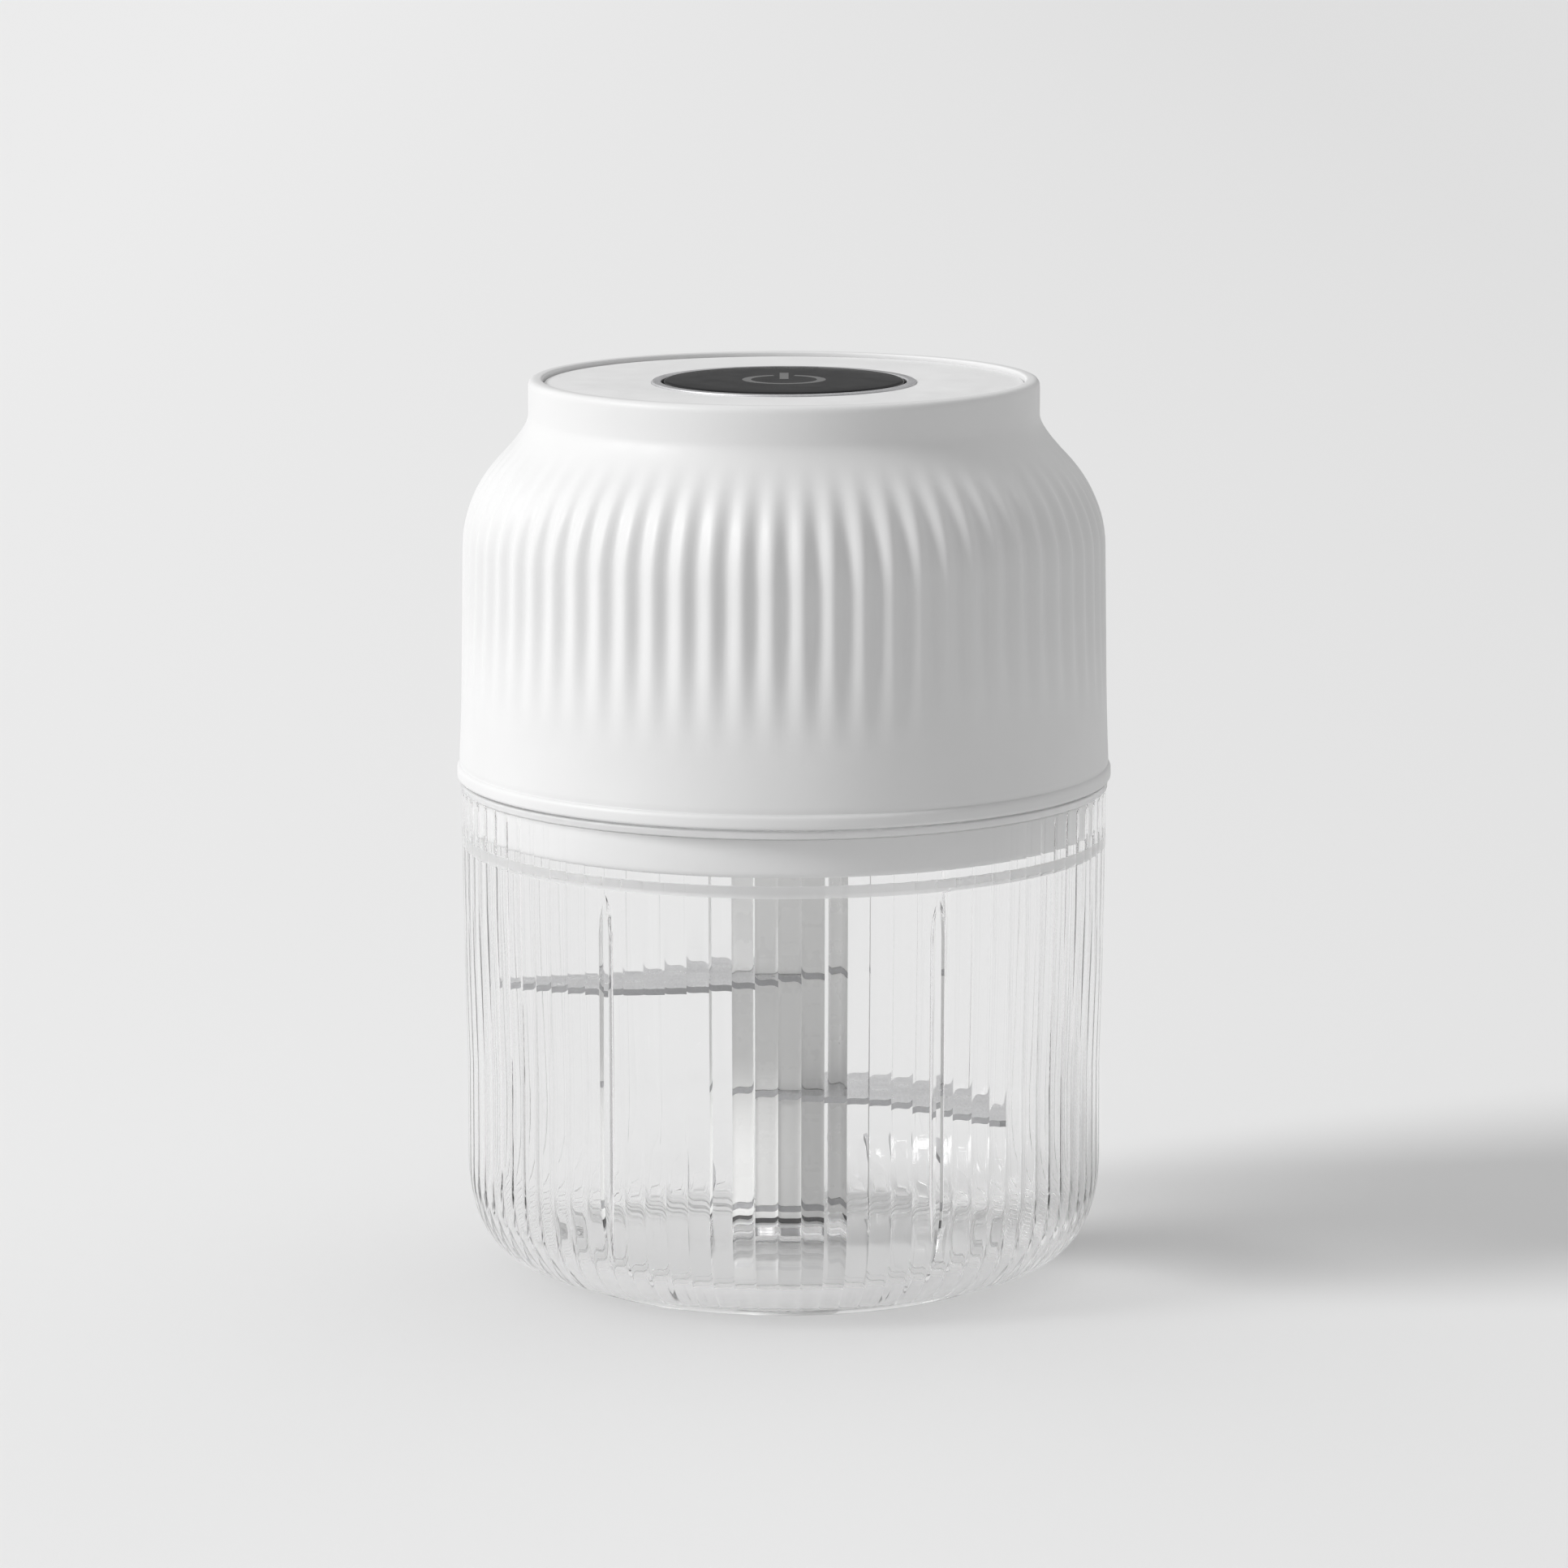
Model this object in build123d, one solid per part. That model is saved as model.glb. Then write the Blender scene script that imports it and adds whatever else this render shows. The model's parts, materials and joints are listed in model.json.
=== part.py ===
from build123d import *
import math
import os

# Cordless mini food chopper: a clear cup, a stack of three blades on a plastic shaft, and a
# motor lid that sits on the cup. Millimetres, +Z up, +Y to the back, origin on the axis at the
# plane that the cup stands on.

# ---- cup ----
FOOT_R = 29.6            # outside of the foot ring
FOOT_W = 2.6
FOOT_H = 1.0
FLOOR_TOP = 3.0
CORNER_W, CORNER_H = 13.0, 17.0      # the outer rounded corner of the bowl
WALL_LOW_R = 40.8        # outside, just above the rounded corner
WALL_TOP_R = 41.5        # outside, under the rim
RIM_TOP = 64.2
BORE_LOW_R = 39.1        # inside, below the ledge
BORE_TOP_R = 40.0        # inside, above the ledge
LEDGE_LOW, LEDGE_TOP = 55.7, 57.5
RIB_ANGLES = (-33.8, 28.6, 146.2, 208.6)   # degrees round from the front
RIB_W, RIB_IN_R = 1.7, 37.6
RIB_LOW, RIB_TOP = 9.0, 55.6
BOSS_R, BOSS_TOP = 7.3, 5.9
PIN_R, PIN_TOP = 2.0, 18.0

# ---- blade stack ----
SHAFT_R = 7.3
WASHER_R = 6.4
WASHER_GAP = 0.1         # between the washer and the boss under it
STACK_LOW, STACK_TOP = 7.1, 57.6
BLADE_T = 0.8
BLADE_TOPS = {"lower_blade": 9.2, "middle_blade": 24.4, "upper_blade": 39.6}
BLADE_TURNS = {"lower_blade": 78.0, "middle_blade": 320.0, "upper_blade": 198.0}
BLADE_TIP_R = 36.8
CORE_W = 8.0             # square core that the blades and sleeves slide on
CORE_TOP = 46.0
BUSH_R = 2.9
BUSH_TOP = 20.0
RUNNING_GAP = 0.08

# ---- drive ----
HEX_FLATS = 7.0
SOCKET_FLATS = 7.5
SOCKET_LOW = 47.6
COUPLER_LOW, COUPLER_STEP, COUPLER_TOP = 48.4, 58.0, 61.6
COUPLER_R = 4.8
MOTOR_SHAFT_R = 1.15
MOTOR_SHAFT_LOW, MOTOR_SHAFT_TOP = 50.0, 87.6

# ---- lid ----
SEAM_Z = 64.5            # underside of the bead
BEAD_R, BEAD_TOP = 42.04, 66.2
LID_WALL = 2.0
NECK_R = 32.65
NECK_LOW = 111.2
LID_TOP = 115.8
PANEL_R = 30.7
PANEL_LOW, PANEL_TOP = 113.7, 115.2
LEDGE_R = 28.8
COLLAR_R = 39.6
COLLAR_LOW = 58.1
COLLAR_WALL = 2.0
FLANGE_R, FLANGE_TOP = 40.6, 66.0
FLOOR_Z = COLLAR_LOW + COLLAR_WALL          # inside floor of the lid
SEAL_LOW, SEAL_TOP = 63.1, 64.4
SEAL_R, SEAL_IN_R = 39.92, 38.6

# ---- button ----
BUTTON_R = 15.4
BUTTON_LOW, BUTTON_TOP = 113.0, 115.55
BEZEL_IN_R, BEZEL_R = 15.7, 16.9
BEZEL_LOW, BEZEL_TOP = 112.6, 115.45
BEZEL_FLANGE_R = 18.4
ICON_IN_R, ICON_R = 4.2, 5.35
ICON_BAR_W, ICON_BAR_LEN = 1.15, 7.3
ICON_DEPTH = 0.3
ICON_GAP = 16.0          # degrees each side of the bar

# ---- motor ----
MOTOR_R = 12.2
CAN_LOW, CAN_TOP = 62.0, 86.5
CAN_WALL = 0.8
CAP_TOP = 88.3
MOTOR_BUSH_R = 3.0

# ---- chassis, battery and board ----
CELL_R, CELL_LEN, CELL_Z = 9.2, 50.0, 99.4
CRADLE_LOW = 88.7
POST_R, POST_X, POST_Y = 2.5, 20.0, 13.6
BOARD_R, BOARD_LOW, BOARD_TOP = 27.0, 109.4, 110.6
SCREW_R, HEAD_R = 1.0, 2.0
COVER_SCREW_R, COVER_HEAD_R = 1.5, 2.8
COVER_SCREW_AT = 33.0
BOSS_ANGLES = (30.0, 150.0, 270.0)
COVER_BOSS_R = 4.2

# ---- charging port, in the back of the lid ----
PORT_Z = 70.4
PORT_Y = 41.5            # outside of the lid at the port
SOCKET_W, SOCKET_H, SOCKET_LEN = 8.94, 3.26, 7.3
SOCKET_FRONT = 39.3
COVER_W, COVER_H, COVER_T = 13.0, 6.6, 1.0
COVER_GAP = 0.35


def tube(outer, inner, low, high):
    """A plain ring about the vertical axis."""
    solid = Cylinder(outer, high - low, align=(Align.CENTER, Align.CENTER, Align.MIN))
    if inner > 0:
        solid = solid - Cylinder(inner, high - low, align=(Align.CENTER, Align.CENTER, Align.MIN))
    return Pos(0, 0, low) * solid


def disc(radius, low, high):
    return tube(radius, 0, low, high)


def post(x, y, radius, low, high):
    return Pos(x, y, 0) * disc(radius, low, high)


def block(width, depth, low, high, x=0.0, y=0.0):
    return Pos(x, y, (low + high) / 2) * Box(width, depth, high - low)


def hexagon(flats, low, high):
    outline = RegularPolygon(flats / 2, 6, major_radius=False)
    return Pos(0, 0, low) * extrude(outline, high - low)


def polar(angle, radius):
    turn = math.radians(angle)
    return (radius * math.cos(turn), radius * math.sin(turn))


def from_front(angle, radius):
    """A place at an angle measured round from the front, positive to the right."""
    turn = math.radians(angle)
    return (radius * math.sin(turn), -radius * math.cos(turn))


def turned(*curves):
    """Revolve a closed half-outline, drawn in X and Z, about the vertical axis."""
    edges = [edge for curve in curves for edge in curve.edges()]
    return revolve(make_face(Wire(edges)), Axis.Z, 360)


def points_xz(*pairs):
    return [Vector(r, 0, z) for r, z in pairs]


def save(name, shape):
    export_step(shape, os.path.join("parts", name + ".step"))


def group(*solids):
    return Compound(children=list(solids))


# ---------------------------------------------------------------- cup


def quarter(radius, low, width, height):
    """The rounded corner of the bowl, from its wall down to its floor."""
    steps = [math.radians(turn) for turn in (0, 22.5, 45, 67.5, 90)]
    places = points_xz(*[(radius - width + width * math.cos(turn), low + height - height * math.sin(turn))
                         for turn in steps])
    return Spline(places, tangents=[Vector(0, 0, -1), Vector(-1, 0, 0)])


def bowl_outside():
    corner = quarter(WALL_LOW_R, FOOT_H, CORNER_W, CORNER_H)
    wall_low = (WALL_LOW_R, FOOT_H + CORNER_H)
    wall = Spline(points_xz(wall_low, (41.15, 38.0), (41.42, 50.0), (WALL_TOP_R, 61.0)))
    rim = Polyline(points_xz((WALL_TOP_R, 61.0), (41.62, 63.0), (41.62, RIM_TOP), (0, RIM_TOP)))
    axis = Polyline(points_xz((0, RIM_TOP), (0, FOOT_H), (WALL_LOW_R - CORNER_W, FOOT_H)))
    return turned(corner, wall, rim, axis)


def bowl_inside():
    width, height = CORNER_W - 1.2, CORNER_H - 3.2
    corner = quarter(BORE_LOW_R, FLOOR_TOP, width, height)
    wall = Polyline(points_xz(
        (BORE_LOW_R, FLOOR_TOP + height), (BORE_LOW_R, LEDGE_LOW), (BORE_TOP_R, LEDGE_TOP),
        (BORE_TOP_R, RIM_TOP - 0.4), (BORE_TOP_R + 0.4, RIM_TOP), (0, RIM_TOP), (0, FLOOR_TOP),
        (BORE_LOW_R - width, FLOOR_TOP)))
    return turned(corner, wall)


def cup():
    inside = bowl_inside()
    shell = bowl_outside() - inside
    shell = shell + tube(FOOT_R, FOOT_R - FOOT_W, 0, FOOT_H + 0.6)
    shell = shell + tube(BOSS_R, PIN_R, FLOOR_TOP - 0.5, BOSS_TOP)
    for angle in RIB_ANGLES:
        shell = shell + cup_rib(angle)
    return shell


def cup_rib(angle):
    """An upright rib on the inside of the wall, pointed at both ends."""
    reach = BORE_LOW_R + 0.6
    side = make_face(Polyline(points_xz(
        (reach, RIB_TOP), (RIB_IN_R, RIB_TOP - 3.0), (RIB_IN_R, RIB_LOW + 10.0),
        (reach - 2.4, RIB_LOW), (reach, RIB_LOW + 4.0)), close=True))
    rib = Pos(0, RIB_W / 2, 0) * extrude(side, RIB_W, dir=(0, -1, 0))
    return Rot(0, 0, angle - 90) * rib


def bowl_pin():
    return chamfer(disc(PIN_R, FLOOR_TOP, PIN_TOP).edges().group_by(Axis.Z)[-1], 0.5)


# ---------------------------------------------------------------- blade stack


def foot_washer():
    return tube(WASHER_R, PIN_R + RUNNING_GAP, BOSS_TOP + WASHER_GAP, STACK_LOW - WASHER_GAP)


def core_hole(low, high):
    return block(CORE_W, CORE_W, low, high)


def blade_core():
    core = core_hole(STACK_LOW, CORE_TOP)
    return core - disc(BUSH_R, STACK_LOW, BUSH_TOP)


def pivot_bush():
    bush = disc(BUSH_R, STACK_LOW, BUSH_TOP)
    return bush - disc(PIN_R + RUNNING_GAP, STACK_LOW, BUSH_TOP - 1.0)


def sleeve(low, high):
    return disc(SHAFT_R, low, high) - core_hole(low, high)


def drive_sleeve():
    low = BLADE_TOPS["upper_blade"]
    body = disc(SHAFT_R, low, STACK_TOP) - core_hole(low, CORE_TOP)
    return body - hexagon(SOCKET_FLATS, SOCKET_LOW, STACK_TOP)


def wing_outline():
    """One flat wing: a convex cutting edge ahead, and a nearly straight back."""
    tip = polar(0, BLADE_TIP_R)
    heel = polar(-3, BLADE_TIP_R - 0.3)
    cutting = Spline(tip, polar(11, 31.5), polar(25, 25.0), polar(42, 16.5), polar(65, 10.0),
                     polar(90, 6.6))
    back = Line(heel, polar(-3.5, 19.0))
    flare = Spline(polar(-3.5, 19.0), polar(-14, 13.8), polar(-46, 9.5), polar(-80, 6.6))
    root = Polyline(polar(90, 6.6), (0, 0), polar(-80, 6.6))
    wing = make_face(Wire([cutting, Line(tip, heel), back, flare, *root.edges()]))
    return wing + Circle(SHAFT_R)


def blade(name):
    """A blade turned to its own direction, with its hole cut square to the core."""
    low = BLADE_TOPS[name] - BLADE_T
    plate = Pos(0, 0, low) * Rot(0, 0, BLADE_TURNS[name]) * extrude(wing_outline(), BLADE_T)
    return plate - core_hole(low, low + BLADE_T)


# ---------------------------------------------------------------- drive


def drive_coupler():
    body = hexagon(HEX_FLATS, COUPLER_LOW, COUPLER_STEP) + disc(COUPLER_R, COUPLER_STEP, COUPLER_TOP)
    return body - disc(MOTOR_SHAFT_R, MOTOR_SHAFT_LOW, COUPLER_TOP)


def motor_shaft():
    return disc(MOTOR_SHAFT_R, MOTOR_SHAFT_LOW, MOTOR_SHAFT_TOP)


def armature_core():
    core = tube(9.3, MOTOR_SHAFT_R, 67.0, 80.0)
    for turn in (0, 120, 240):
        slot = block(4.4, 4.0, 67.0, 80.0, x=6.4) + block(4.0, 1.2, 67.0, 80.0, x=8.5)
        core = core - Rot(0, 0, turn) * slot
    return core


def windings():
    return group(tube(8.0, MOTOR_SHAFT_R + 0.8, 65.0, 67.0), tube(8.0, MOTOR_SHAFT_R + 0.8, 80.0, 82.0))


def commutator():
    return tube(3.0, MOTOR_SHAFT_R, 82.4, 85.8)


# ---------------------------------------------------------------- motor


def motor_can():
    can = disc(MOTOR_R, CAN_LOW, CAN_TOP)
    can = fillet(can.edges().group_by(Axis.Z)[0], 1.0)
    can = can - disc(MOTOR_R - CAN_WALL, CAN_LOW + CAN_WALL, CAN_TOP)
    can = can - disc(MOTOR_BUSH_R, CAN_LOW, CAN_LOW + CAN_WALL)
    for side in (-1, 1):
        can = can - post(side * 8.0, 0, SCREW_R, CAN_LOW, CAN_LOW + CAN_WALL)
    return can


def motor_end_cap():
    cap = tube(MOTOR_R, MOTOR_BUSH_R, CAN_TOP, CAP_TOP)
    return cap + tube(MOTOR_R - CAN_WALL, MOTOR_R - CAN_WALL - 1.4, CAN_TOP - 2.5, CAN_TOP)


def motor_bushes():
    bore = MOTOR_SHAFT_R + 0.05
    return group(tube(MOTOR_BUSH_R, bore, CAN_LOW, CAN_LOW + 2.2),
                 tube(MOTOR_BUSH_R, bore, CAP_TOP - 1.8, CAP_TOP))


def motor_magnets():
    ring = tube(MOTOR_R - CAN_WALL, 9.7, 65.0, 81.0)
    gap = block(30.0, 5.0, 65.0, 81.0)
    return group(*(ring - gap).solids())


def motor_brushes():
    return group(*[block(3.4, 2.0, 83.2, 85.2, x=side * 5.1) for side in (-1, 1)])


def motor_damper():
    ring = tube(15.0, 7.4, FLOOR_Z, CAN_LOW)
    for side in (-1, 1):
        ring = ring - post(side * 8.0, 0, 2.6, FLOOR_Z, CAN_LOW)
    return ring


def motor_screws():
    screws = []
    for side in (-1, 1):
        shank = post(side * 8.0, 0, SCREW_R, COLLAR_LOW + 1.2, CAN_LOW + CAN_WALL)
        screws.append(shank + post(side * 8.0, 0, HEAD_R, COLLAR_LOW + 0.1, COLLAR_LOW + 1.2))
    return group(*screws)


# ---------------------------------------------------------------- lid


def lid_outline(inset, bottom, top):
    """The lid's outer curve, from the bead up to the neck, moved in by a wall thickness."""
    skirt = Spline(points_xz(
        (41.7 - inset, 67.2), (41.5 - inset, 72.0), (41.25 - inset, 86.0), (40.9 - inset, 96.0)))
    shoulder = Spline(
        points_xz((40.9 - inset, 96.0), (39.7 - inset, 100.7), (36.2 - inset, 105.9),
                  (33.5 - inset, 109.0), (NECK_R - inset, NECK_LOW)),
        tangents=[skirt % 1, Vector(0, 0, 1)])
    foot = Polyline(points_xz((0, bottom), (41.7 - inset, bottom), (41.7 - inset, 67.2)))
    head = Polyline(points_xz((NECK_R - inset, NECK_LOW), (NECK_R - inset, top), (0, top), (0, bottom)))
    return turned(foot, skirt, shoulder, head)


def housing():
    shell = lid_outline(0, SEAM_Z, LID_TOP) + tube(BEAD_R, 30, SEAM_Z, BEAD_TOP)
    crown = shell.edges().group_by(Axis.Z)[-1]
    shell = fillet(crown, 0.9)
    shell = shell - lid_outline(LID_WALL, SEAM_Z, PANEL_LOW - 1.5)
    shell = shell - disc(LEDGE_R, PANEL_LOW - 2.0, PANEL_LOW + 0.1)
    shell = shell - disc(PANEL_R + 0.1, PANEL_LOW, LID_TOP)
    shell = shell - disc(FLANGE_R, SEAM_Z, FLANGE_TOP)
    for angle in BOSS_ANGLES:
        shell = shell + housing_boss(angle)
    return shell - port_cutout() - light_hole()


def housing_boss(angle):
    x, y = polar(angle, COVER_SCREW_AT)
    boss = post(x, y, COVER_BOSS_R, FLANGE_TOP, 82.0)
    web = Rot(0, 0, angle) * block(6.0, 2.4, FLANGE_TOP, 82.0, x=37.2)
    return boss + web - post(x, y, COVER_SCREW_R, FLANGE_TOP, 78.0)


def port_cutout():
    hole = Pos(0, 0, PORT_Z) * Box(SOCKET_W + 0.8, 8.0, SOCKET_H + 0.8)
    pocket_w, pocket_h = COVER_W + 2 * COVER_GAP, COVER_H + 2 * COVER_GAP
    pocket = Pos(0, PORT_Y, PORT_Z) * Box(pocket_w, 8.0, pocket_h)
    pocket = pocket & tube(PORT_Y + 4, PORT_Y - COVER_T - 0.3, PORT_Z - 6, PORT_Z + 6)
    return Pos(0, PORT_Y - 2.0, 0) * hole + pocket


def light_hole():
    x, y = from_front(165.0, 41.0)
    return Pos(x, y, PORT_Z) * Rot(0, 0, -15.0) * Rot(90, 0, 0) * Cylinder(1.2, 8.0)


def base_cover():
    cover = disc(COLLAR_R, COLLAR_LOW, FLANGE_TOP) + disc(FLANGE_R, SEAM_Z, FLANGE_TOP)
    cover = chamfer(cover.edges().group_by(Axis.Z)[0], 0.6)
    cover = cover - tube(COLLAR_R + 1, SEAL_IN_R, SEAL_LOW, SEAM_Z - 0.1)
    cover = cover - disc(COLLAR_R - COLLAR_WALL, FLOOR_Z, FLANGE_TOP)
    cover = cover - disc(COUPLER_R + 0.4, COLLAR_LOW, FLOOR_Z)
    for angle in BOSS_ANGLES:
        x, y = polar(angle, COVER_SCREW_AT)
        cover = cover + post(x, y, COVER_BOSS_R, COLLAR_LOW + 0.6, FLANGE_TOP)
        cover = cover - post(x, y, COVER_HEAD_R + 0.2, COLLAR_LOW, COLLAR_LOW + 3.0)
        cover = cover - post(x, y, COVER_SCREW_R, COLLAR_LOW, FLANGE_TOP)
    for side in (-1, 1):
        cover = cover - post(side * 8.0, 0, SCREW_R, COLLAR_LOW, FLOOR_Z)
        cover = cover - post(side * 8.0, 0, HEAD_R + 0.2, COLLAR_LOW, COLLAR_LOW + 1.2)
        cover = cover + block(2.0, 8.0, FLOOR_Z - 0.1, PORT_Z - SOCKET_H / 2 - 1.0, x=side * 6.0, y=32.0)
    return cover


def seal_ring():
    return tube(SEAL_R, SEAL_IN_R, SEAL_LOW, SEAL_TOP)


def shaft_seal():
    return tube(7.0, COUPLER_R + 0.06, FLOOR_Z, FLOOR_Z + 1.5)


def cover_screws():
    screws = []
    for angle in BOSS_ANGLES:
        x, y = polar(angle, COVER_SCREW_AT)
        head = post(x, y, COVER_HEAD_R, COLLAR_LOW + 1.2, COLLAR_LOW + 3.0)
        slot = block(0.8, 4.0, COLLAR_LOW + 1.2, COLLAR_LOW + 2.2, x=x, y=y)
        cross = block(4.0, 0.8, COLLAR_LOW + 1.2, COLLAR_LOW + 2.2, x=x, y=y)
        shank = post(x, y, COVER_SCREW_R, COLLAR_LOW + 3.0, 77.0)
        screws.append(head - slot - cross + shank)
    return group(*screws)


def top_panel():
    panel = tube(PANEL_R, BEZEL_R, PANEL_LOW, PANEL_TOP)
    return chamfer(panel.edges().group_by(Axis.Z)[-1].sort_by(SortBy.RADIUS)[-1], 0.3)


def button_bezel():
    ring = tube(BEZEL_R, BEZEL_IN_R, BEZEL_LOW, BEZEL_TOP)
    ring = chamfer(ring.edges().group_by(Axis.Z)[-1], 0.25)
    return ring + tube(BEZEL_FLANGE_R, BEZEL_R - 0.2, BEZEL_LOW, PANEL_LOW)


# ---------------------------------------------------------------- button


def icon_outline():
    """The usual power sign: an open ring with a bar in its gap, towards the back."""
    ring = Circle(ICON_R) - Circle(ICON_IN_R)
    reach = 2 * ICON_R
    left, right = polar(90 + ICON_GAP, reach), polar(90 - ICON_GAP, reach)
    ring = ring - make_face(Polyline((0, 0), right, (0, 2 * reach), left, close=True))
    bar = Pos(0, ICON_BAR_LEN / 2 + 0.4) * Rectangle(ICON_BAR_W, ICON_BAR_LEN)
    return ring + bar


def power_button():
    cap = disc(BUTTON_R, BUTTON_LOW, BUTTON_TOP)
    cap = fillet(cap.edges().group_by(Axis.Z)[-1], 0.5)
    cap = cap - disc(BUTTON_R - 1.4, BUTTON_LOW, BUTTON_LOW + 0.9)
    return cap - Pos(0, 0, BUTTON_TOP - ICON_DEPTH) * extrude(icon_outline(), ICON_DEPTH)


def power_icon():
    inlay = Pos(0, 0, BUTTON_TOP - ICON_DEPTH) * extrude(icon_outline(), ICON_DEPTH)
    return group(*inlay.solids())


def button_stem():
    return disc(1.5, BOARD_TOP + 1.0, BUTTON_LOW + 0.9)


def tact_switch():
    switch = block(6.0, 6.0, BOARD_TOP, BOARD_TOP + 1.7)
    return switch - disc(1.8, BOARD_TOP + 0.3, BOARD_TOP + 1.7)


def button_spring():
    low, high, wire = BOARD_TOP + 0.25, BUTTON_LOW + 0.65, 0.25
    path = Helix(pitch=(high - low) / 2.5, height=high - low, radius=6.0)
    section = Plane(origin=path @ 0, z_dir=path % 0) * Circle(wire)
    return Pos(0, 0, low) * sweep(section, path=path, is_frenet=True)


# ---------------------------------------------------------------- chassis


def battery_cell():
    return Pos(0, 0, CELL_Z) * Rot(0, 90, 0) * fillet(Cylinder(CELL_R, CELL_LEN).edges(), 0.6)


def battery_terminals():
    plates = [block(0.5, 7.0, CELL_Z - 3.5, CELL_Z + 3.5, x=side * (CELL_LEN / 2 + 0.25)) for side in (-1, 1)]
    return group(*plates)


def battery_cradle():
    trough = Pos(0, 0, CELL_Z) * Rot(0, 90, 0) * (Cylinder(CELL_R + 1.4, CELL_LEN + 4) - Cylinder(CELL_R, CELL_LEN + 1))
    trough = trough - block(60.0, 30.0, CELL_Z - 2.0, CELL_Z + 12.0)
    base = block(CELL_LEN + 4, 2 * POST_Y - 2, CRADLE_LOW, CRADLE_LOW + 1.6)
    cell_space = Pos(0, 0, CELL_Z) * Rot(0, 90, 0) * Cylinder(CELL_R, CELL_LEN + 1)
    frame = trough + (base - cell_space)
    for x in (-POST_X, POST_X):
        for y in (-POST_Y, POST_Y):
            frame = frame + post(x, y, POST_R, FLOOR_Z, BOARD_LOW)
            frame = frame - cell_space - post(x, y, SCREW_R, BOARD_LOW - 6.0, BOARD_LOW)
    return frame


def control_board():
    board = disc(BOARD_R, BOARD_LOW, BOARD_TOP)
    for x in (-POST_X, POST_X):
        for y in (-POST_Y, POST_Y):
            board = board - post(x, y, SCREW_R, BOARD_LOW, BOARD_TOP)
    board = board + block(5.0, 4.0, BOARD_TOP, BOARD_TOP + 1.2, x=-10.0, y=6.0)
    board = board + block(6.0, 6.0, BOARD_TOP, BOARD_TOP + 1.0, x=10.5, y=-5.0)
    return board + block(2.0, 1.2, BOARD_TOP, BOARD_TOP + 0.8, x=0.0, y=9.5)


def board_screws():
    screws = []
    for x in (-POST_X, POST_X):
        for y in (-POST_Y, POST_Y):
            shank = post(x, y, SCREW_R, BOARD_LOW - 5.5, BOARD_TOP)
            screws.append(shank + post(x, y, HEAD_R, BOARD_TOP, BOARD_TOP + 1.2))
    return group(*screws)


def lead(route, bend):
    path = FilletPolyline(*route, radius=bend)
    section = Plane(origin=path @ 0, z_dir=path % 0) * Circle(0.6)
    return sweep(section, path=path)


def motor_leads():
    leads = []
    for side in (-1, 1):
        route = [(side * 4.0, MOTOR_R + 0.8, 76.0), (side * 4.0, MOTOR_R + 0.8, 84.0),
                 (side * 4.0, 17.5, 92.0), (side * 4.0, 17.5, BOARD_LOW)]
        leads.append(lead(route, 4.0))
    return group(*leads)


def charge_leads():
    leads = []
    for side in (-1, 1):
        x = side * 4.0
        low = PORT_Z - SOCKET_H / 2 - 0.5
        leads.append(lead([(x, 28.0, low), (x, 24.0, low), (x, 24.0, BOARD_LOW)], 3.0))
    return group(*leads)


# ---------------------------------------------------------------- charging port


def charge_board():
    top = PORT_Z - SOCKET_H / 2
    return block(16.0, 10.0, top - 1.0, top, y=33.0)


def usb_socket():
    shell = Box(SOCKET_W, SOCKET_LEN, SOCKET_H)
    shell = fillet(shell.edges().filter_by(Axis.Y), SOCKET_H / 2 - 0.05)
    mouth = fillet(Box(SOCKET_W - 0.6, SOCKET_LEN, SOCKET_H - 0.6).edges().filter_by(Axis.Y), SOCKET_H / 2 - 0.4)
    shell = shell - Pos(0, 0.8, 0) * mouth
    shell = shell + Pos(0, -0.6, 0) * Box(6.6, SOCKET_LEN - 1.2, 0.7)
    return Pos(0, SOCKET_FRONT - SOCKET_LEN / 2, PORT_Z) * shell


def charge_light():
    x, y = from_front(165.0, 39.2)
    return Pos(x, y, PORT_Z) * Rot(0, 0, -15.0) * Rot(90, 0, 0) * Cylinder(1.15, 4.4)


def port_cover():
    """A rubber flap, hinged at its left upright edge, with a short plug for the socket."""
    flap = Pos(0, PORT_Y - COVER_T / 2, PORT_Z) * Box(COVER_W, 2.8, COVER_H)
    flap = flap & tube(PORT_Y, PORT_Y - COVER_T, PORT_Z - 6, PORT_Z + 6)
    plug = Pos(0, PORT_Y - COVER_T - 0.7, PORT_Z) * Box(SOCKET_W - 2.4, 2.2, 0.7)
    return flap + plug


NODES = {
    "cup": cup, "bowl_pin": bowl_pin, "foot_washer": foot_washer, "blade_core": blade_core,
    "pivot_bush": pivot_bush, "drive_sleeve": drive_sleeve, "drive_coupler": drive_coupler,
    "motor_shaft": motor_shaft, "armature_core": armature_core, "windings": windings,
    "commutator": commutator, "motor_can": motor_can, "motor_end_cap": motor_end_cap,
    "motor_bushes": motor_bushes, "motor_magnets": motor_magnets, "motor_brushes": motor_brushes,
    "motor_damper": motor_damper, "motor_screws": motor_screws, "housing": housing,
    "base_cover": base_cover, "seal_ring": seal_ring, "shaft_seal": shaft_seal,
    "cover_screws": cover_screws, "top_panel": top_panel, "button_bezel": button_bezel,
    "power_button": power_button, "power_icon": power_icon, "button_stem": button_stem,
    "tact_switch": tact_switch, "button_spring": button_spring, "battery_cell": battery_cell,
    "battery_terminals": battery_terminals, "battery_cradle": battery_cradle,
    "control_board": control_board, "board_screws": board_screws, "motor_leads": motor_leads,
    "charge_leads": charge_leads, "charge_board": charge_board, "usb_socket": usb_socket,
    "charge_light": charge_light, "port_cover": port_cover,
}


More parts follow.
